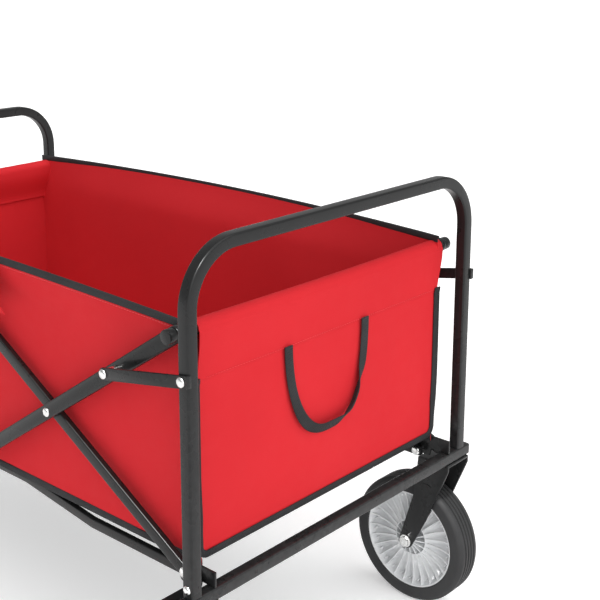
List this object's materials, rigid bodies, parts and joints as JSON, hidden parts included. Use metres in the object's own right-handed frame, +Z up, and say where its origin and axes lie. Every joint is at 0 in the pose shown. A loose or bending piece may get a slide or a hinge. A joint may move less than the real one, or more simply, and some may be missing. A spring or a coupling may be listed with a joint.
{
  "type": "folding wagon with pull handle",
  "caption": "Folding utility wagon: square-tube end frames, scissor side arms, fabric tub, wheels with swivel front casters and a telescopic pull handle.",
  "frame": {"origin": "on the floor under the middle of the whole outline at rest", "axes": "+X towards the pull handle (front), +Y to the left side of the wagon, +Z up"},
  "size_m": [0.9555, 0.5356, 0.6399],
  "materials": {
    "frame": "charcoal powder coat, satin",
    "zinc": "bright zinc plate",
    "fabric": "coated polyester weave, matt",
    "webbing": "black webbing and binding tape",
    "tyre": "matt black rubber",
    "rim": "light grey moulded, semi-gloss",
    "plastic": "black moulded, fine texture"
  },
  "bodies": {
    "rear_frame": {"rear_bail": "frame", "rear_cross_bar": "frame", "rear_bracket_left": "frame", "rear_bracket_right": "frame", "rear_fork_left": "frame", "rear_fork_right": "frame", "rear_axle_bolt_left": "zinc", "rear_axle_bolt_right": "zinc"},
    "rear_wheel_left": {"rear_tyre_left": "tyre", "rear_rim_left": "rim"},
    "rear_wheel_right": {"rear_tyre_right": "tyre", "rear_rim_right": "rim"},
    "rear_rising_arms": {"rear_rising_arm_left": "frame", "rear_rising_arm_right": "frame"},
    "front_rising_arms": {"front_rising_arm_left": "frame", "front_rising_arm_right": "frame"},
    "rear_falling_arms": {"rear_falling_arm_left": "frame", "rear_falling_arm_right": "frame"},
    "front_falling_arms": {"front_falling_arm_left": "frame", "front_falling_arm_right": "frame"},
    "rear_stays": {"rear_stay_left": "frame", "rear_stay_right": "frame"},
    "front_stays": {"front_stay_left": "frame", "front_stay_right": "frame"},
    "rear_floor_arms": {"rear_floor_arm_left": "frame", "rear_floor_arm_right": "frame"},
    "front_floor_arms": {"front_floor_arm_left": "frame", "front_floor_arm_right": "frame"},
    "tub": {"rear_top_rod": "frame", "tub_fabric": "fabric", "floor_mat": "fabric", "side_flap_left": "fabric", "side_flap_right": "fabric", "rear_strap_handle": "webbing"},
    "front_rod": {"front_top_rod": "frame", "front_strap_handle": "webbing"},
    "front_frame": {"front_bail": "frame", "front_cross_bar": "frame", "front_bracket_left": "frame", "front_bracket_right": "frame", "handle_bracket": "frame", "handle_bolt": "zinc"},
    "caster_left": {"caster_fork_left": "frame", "caster_axle_bolt_left": "zinc"},
    "caster_right": {"caster_fork_right": "frame", "caster_axle_bolt_right": "zinc"},
    "caster_wheel_left": {"caster_tyre_left": "tyre", "caster_rim_left": "rim"},
    "caster_wheel_right": {"caster_tyre_right": "tyre", "caster_rim_right": "rim"},
    "handle_lower": {"handle_outer_tube": "frame", "handle_collar": "plastic"},
    "handle_upper": {"handle_inner_tube": "frame", "handle_grip": "plastic"},
    "handle_button": {"handle_button": "plastic"}
  },
  "joints": [
    {"name": "fold", "type": "hinge", "parent": "rear_frame", "child": "rear_rising_arms", "pos_m": [-0.41475, 0, 0.246], "axis": [0, -1, 0], "range_deg": [0, 42.7], "deforming": ["tub_fabric", "floor_mat", "side_flap_left", "side_flap_right"]},
    {"name": "centre_top", "type": "hinge", "parent": "rear_rising_arms", "child": "front_rising_arms", "pos_m": [-0.00725, 0, 0.4746], "axis": [0, -1, 0], "range_deg": [-85.8, 0]},
    {"name": "front_level", "type": "hinge", "parent": "front_rising_arms", "child": "front_frame", "pos_m": [0.40025, 0, 0.246], "axis": [0, -1, 0], "range_deg": [0, 43.1]},
    {"name": "rear_crossing", "type": "hinge", "parent": "rear_rising_arms", "child": "rear_falling_arms", "pos_m": [-0.19375, 0, 0.3701], "axis": [0, -1, 0], "range_deg": [-82.4, 0]},
    {"name": "front_crossing", "type": "hinge", "parent": "front_rising_arms", "child": "front_falling_arms", "pos_m": [0.17925, 0, 0.3701], "axis": [0, -1, 0], "range_deg": [0, 82.4]},
    {"name": "tub_level", "type": "hinge", "parent": "rear_falling_arms", "child": "tub", "pos_m": [-0.41475, 0, 0.517], "axis": [0, -1, 0], "range_deg": [0, 39.7]},
    {"name": "front_rod_level", "type": "hinge", "parent": "front_falling_arms", "child": "front_rod", "pos_m": [0.40025, 0, 0.517], "axis": [0, -1, 0], "range_deg": [-39.7, 0]},
    {"name": "rear_stay_swing", "type": "hinge", "parent": "rear_falling_arms", "child": "rear_stays", "pos_m": [-0.3239, 0, 0.45678], "axis": [0, -1, 0], "range_deg": [0, 109.7]},
    {"name": "front_stay_swing", "type": "hinge", "parent": "front_falling_arms", "child": "front_stays", "pos_m": [0.3094, 0, 0.45678], "axis": [0, -1, 0], "range_deg": [-109.7, 0]},
    {"name": "rear_floor_rise", "type": "hinge", "parent": "rear_frame", "child": "rear_floor_arms", "pos_m": [-0.40675, 0, 0.234], "axis": [0, -1, 0], "range_deg": [0, 70.4]},
    {"name": "front_floor_rise", "type": "hinge", "parent": "front_frame", "child": "front_floor_arms", "pos_m": [0.39225, 0, 0.234], "axis": [0, -1, 0], "range_deg": [-70.4, 0]},
    {"name": "rear_wheel_left_spin", "type": "hinge", "parent": "rear_frame", "child": "rear_wheel_left", "pos_m": [-0.38775, 0.2383, 0.09], "axis": [0, 1, 0], "continuous": true},
    {"name": "caster_left_swivel", "type": "hinge", "parent": "front_frame", "child": "caster_left", "pos_m": [0.41475, 0.2383, 0.205], "axis": [0, 0, 1], "continuous": true},
    {"name": "caster_wheel_left_spin", "type": "hinge", "parent": "caster_left", "child": "caster_wheel_left", "pos_m": [0.37475, 0.2383, 0.09], "axis": [0, 1, 0], "continuous": true},
    {"name": "rear_wheel_right_spin", "type": "hinge", "parent": "rear_frame", "child": "rear_wheel_right", "pos_m": [-0.38775, -0.2383, 0.09], "axis": [0, 1, 0], "continuous": true},
    {"name": "caster_right_swivel", "type": "hinge", "parent": "front_frame", "child": "caster_right", "pos_m": [0.41475, -0.2383, 0.205], "axis": [0, 0, 1], "continuous": true},
    {"name": "caster_wheel_right_spin", "type": "hinge", "parent": "caster_right", "child": "caster_wheel_right", "pos_m": [0.37475, -0.2383, 0.09], "axis": [0, 1, 0], "continuous": true},
    {"name": "handle_swing", "type": "hinge", "parent": "front_frame", "child": "handle_lower", "pos_m": [0.46675, 0, 0.21], "axis": [0, 1, 0], "range_deg": [0, 105]},
    {"name": "handle_slide", "type": "slide", "parent": "handle_lower", "child": "handle_upper", "axis": [-0.0419, 0, 0.9991], "range_m": [0, 0.28]},
    {"name": "handle_button_press", "type": "slide", "parent": "handle_lower", "child": "handle_button", "axis": [-0.9991, 0, -0.0419], "range_m": [0, 0.0022], "stiffness_N_per_m": 400, "springref_m": -0.002}
  ],
  "couplings": [
    {"joint": "centre_top", "follows": "fold", "ratio": -2},
    {"joint": "front_level", "follows": "fold", "ratio": 1},
    {"joint": "rear_crossing", "follows": "fold", "ratio": -1.921},
    {"joint": "front_crossing", "follows": "fold", "ratio": 1.921},
    {"joint": "tub_level", "follows": "fold", "ratio": 0.921},
    {"joint": "front_rod_level", "follows": "fold", "ratio": -0.921},
    {"joint": "rear_stay_swing", "follows": "fold", "ratio": 2.56},
    {"joint": "front_stay_swing", "follows": "fold", "ratio": -2.56},
    {"joint": "rear_floor_rise", "follows": "fold", "ratio": 1.6399},
    {"joint": "front_floor_rise", "follows": "fold", "ratio": -1.6399}
  ]
}
